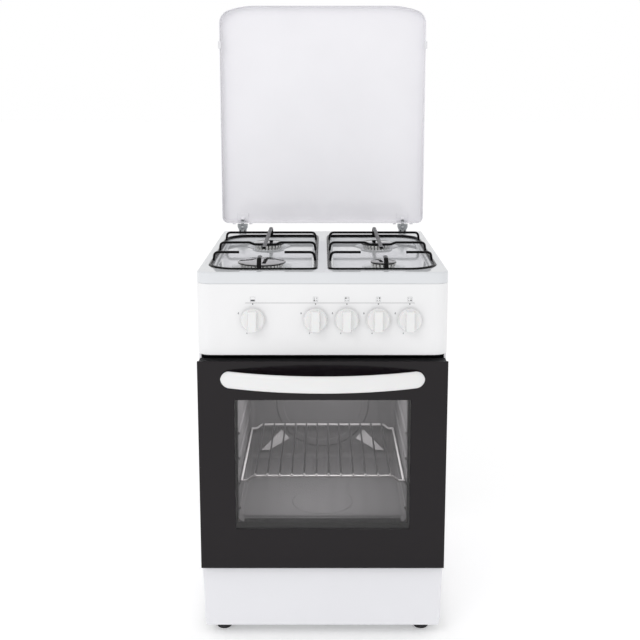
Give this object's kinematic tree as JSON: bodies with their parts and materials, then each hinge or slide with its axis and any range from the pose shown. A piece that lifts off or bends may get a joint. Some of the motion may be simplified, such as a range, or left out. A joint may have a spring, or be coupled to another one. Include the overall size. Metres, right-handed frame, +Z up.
{
  "type": "freestanding gas range",
  "caption": "Narrow freestanding gas cooker with a hinged lid, wire pan supports, round burners, push-and-turn taps and a drop-down oven door with a window.",
  "frame": {"origin": "on the floor, under the middle of the cooker's outline seen from above", "axes": "+X to the right as one stands before the cooker, +Y to its back, +Z up"},
  "size_m": [0.506, 0.62, 1.331],
  "materials": {
    "white_enamel": "glossy white enamel on sheet steel",
    "hob_enamel": "glossy pale grey-white enamel",
    "plinth_enamel": "satin white enamel",
    "black_enamel": "glossy black enamel",
    "support_enamel": "black enamel on steel wire",
    "oven_enamel": "dark grey speckled enamel",
    "white_plastic": "smooth white plastic",
    "burner_aluminium": "die-cast, satin",
    "galvanised_steel": "galvanised sheet",
    "chromed_steel": "chromed wire",
    "zinc": "zinc-plated",
    "brass": "machined",
    "door_glass": "tempered, black printed border round a tinted window",
    "inner_glass": "clear tempered glass",
    "black_rubber": "matt",
    "pale_rubber": "matt, moulded",
    "glass_wool": "soft mineral blanket"
  },
  "bodies": {
    "cabinet": {"side_panel_left": "white_enamel", "side_panel_right": "white_enamel", "back_panel": "galvanised_steel", "base_tray": "galvanised_steel", "plinth_panel": "plinth_enamel", "control_panel": "white_enamel", "hob_top": "hob_enamel", "oven_cavity": "oven_enamel", "insulation_blanket": "glass_wool", "oven_front": "black_enamel", "oven_door_seal": "black_rubber", "oven_floor_plate": "oven_enamel", "oven_burner": "galvanised_steel", "foot_front_left": "black_rubber", "foot_front_right": "black_rubber", "foot_rear_left": "black_rubber", "foot_rear_right": "black_rubber", "burner_front_left": "burner_aluminium", "burner_front_right": "burner_aluminium", "burner_rear_left": "burner_aluminium", "burner_rear_right": "burner_aluminium", "gas_manifold": "zinc", "gas_inlet": "brass", "gas_valve_oven": "brass", "gas_valve_front_left": "brass", "gas_valve_rear_left": "brass", "gas_valve_rear_right": "brass", "gas_valve_front_right": "brass", "door_hinge_arm_left": "zinc", "door_hinge_arm_right": "zinc", "lid_hinge_post_left": "zinc", "lid_hinge_post_right": "zinc"},
    "lid": {"lid_panel": "white_enamel", "lid_hinge_left": "zinc", "lid_hinge_right": "zinc", "lid_buffer_left": "pale_rubber", "lid_buffer_right": "pale_rubber"},
    "oven_door": {"door_outer_glass": "door_glass", "door_frame": "black_enamel", "door_inner_glass": "inner_glass", "door_handle": "white_plastic", "door_hinge_left": "zinc", "door_hinge_right": "zinc"},
    "rack": {"oven_rack": "chromed_steel"},
    "support_left": {"pan_support_left": "support_enamel"},
    "support_right": {"pan_support_right": "support_enamel"},
    "cap_front_left": {"burner_cap_front_left": "black_enamel"},
    "cap_front_right": {"burner_cap_front_right": "black_enamel"},
    "cap_rear_left": {"burner_cap_rear_left": "black_enamel"},
    "cap_rear_right": {"burner_cap_rear_right": "black_enamel"},
    "turning_oven": {"spindle_oven": "brass"},
    "turning_front_left": {"spindle_front_left": "brass"},
    "turning_rear_left": {"spindle_rear_left": "brass"},
    "turning_rear_right": {"spindle_rear_right": "brass"},
    "turning_front_right": {"spindle_front_right": "brass"},
    "pushed_oven": {"knob_oven": "white_plastic"},
    "pushed_front_left": {"knob_front_left": "white_plastic"},
    "pushed_rear_left": {"knob_rear_left": "white_plastic"},
    "pushed_rear_right": {"knob_rear_right": "white_plastic"},
    "pushed_front_right": {"knob_front_right": "white_plastic"}
  },
  "joints": [
    {"name": "lid_swing", "type": "hinge", "parent": "cabinet", "child": "lid", "pos_m": [0, 0.295, 0.792], "axis": [-1, 0, 0], "range_deg": [-90, 0]},
    {"name": "door_swing", "type": "hinge", "parent": "cabinet", "child": "oven_door", "pos_m": [0, -0.252, 0.172], "axis": [1, 0, 0], "range_deg": [0, 90], "stiffness_Nm_per_rad": 4, "springref_deg": -34.38},
    {"name": "rack_slide", "type": "slide", "parent": "cabinet", "child": "rack", "axis": [0, -1, 0], "range_m": [0, 0.02]},
    {"name": "support_left_lift", "type": "slide", "parent": "cabinet", "child": "support_left", "axis": [0, 0, 1], "range_m": [0, 0.06]},
    {"name": "support_right_lift", "type": "slide", "parent": "cabinet", "child": "support_right", "axis": [0, 0, 1], "range_m": [0, 0.06]},
    {"name": "cap_front_left_lift", "type": "slide", "parent": "cabinet", "child": "cap_front_left", "axis": [0, 0, 1], "range_m": [0, 0.01]},
    {"name": "cap_front_right_lift", "type": "slide", "parent": "cabinet", "child": "cap_front_right", "axis": [0, 0, 1], "range_m": [0, 0.01]},
    {"name": "cap_rear_left_lift", "type": "slide", "parent": "cabinet", "child": "cap_rear_left", "axis": [0, 0, 1], "range_m": [0, 0.01]},
    {"name": "cap_rear_right_lift", "type": "slide", "parent": "cabinet", "child": "cap_rear_right", "axis": [0, 0, 1], "range_m": [0, 0.01]},
    {"name": "tap_oven_turn", "type": "hinge", "parent": "cabinet", "child": "turning_oven", "pos_m": [-0.138, -0.27, 0.685], "axis": [0, -1, 0], "range_deg": [0, 160]},
    {"name": "tap_front_left_turn", "type": "hinge", "parent": "cabinet", "child": "turning_front_left", "pos_m": [-0.014, -0.27, 0.685], "axis": [0, -1, 0], "range_deg": [0, 160]},
    {"name": "tap_rear_left_turn", "type": "hinge", "parent": "cabinet", "child": "turning_rear_left", "pos_m": [0.048, -0.27, 0.685], "axis": [0, -1, 0], "range_deg": [0, 160]},
    {"name": "tap_rear_right_turn", "type": "hinge", "parent": "cabinet", "child": "turning_rear_right", "pos_m": [0.11, -0.27, 0.685], "axis": [0, -1, 0], "range_deg": [0, 160]},
    {"name": "tap_front_right_turn", "type": "hinge", "parent": "cabinet", "child": "turning_front_right", "pos_m": [0.172, -0.27, 0.685], "axis": [0, -1, 0], "range_deg": [0, 160]},
    {"name": "tap_oven_push", "type": "slide", "parent": "turning_oven", "child": "pushed_oven", "axis": [0, 1, 0], "range_m": [0, 0.004], "stiffness_N_per_m": 400, "springref_m": -0.003},
    {"name": "tap_front_left_push", "type": "slide", "parent": "turning_front_left", "child": "pushed_front_left", "axis": [0, 1, 0], "range_m": [0, 0.004], "stiffness_N_per_m": 400, "springref_m": -0.003},
    {"name": "tap_rear_left_push", "type": "slide", "parent": "turning_rear_left", "child": "pushed_rear_left", "axis": [0, 1, 0], "range_m": [0, 0.004], "stiffness_N_per_m": 400, "springref_m": -0.003},
    {"name": "tap_rear_right_push", "type": "slide", "parent": "turning_rear_right", "child": "pushed_rear_right", "axis": [0, 1, 0], "range_m": [0, 0.004], "stiffness_N_per_m": 400, "springref_m": -0.003},
    {"name": "tap_front_right_push", "type": "slide", "parent": "turning_front_right", "child": "pushed_front_right", "axis": [0, 1, 0], "range_m": [0, 0.004], "stiffness_N_per_m": 400, "springref_m": -0.003}
  ]
}
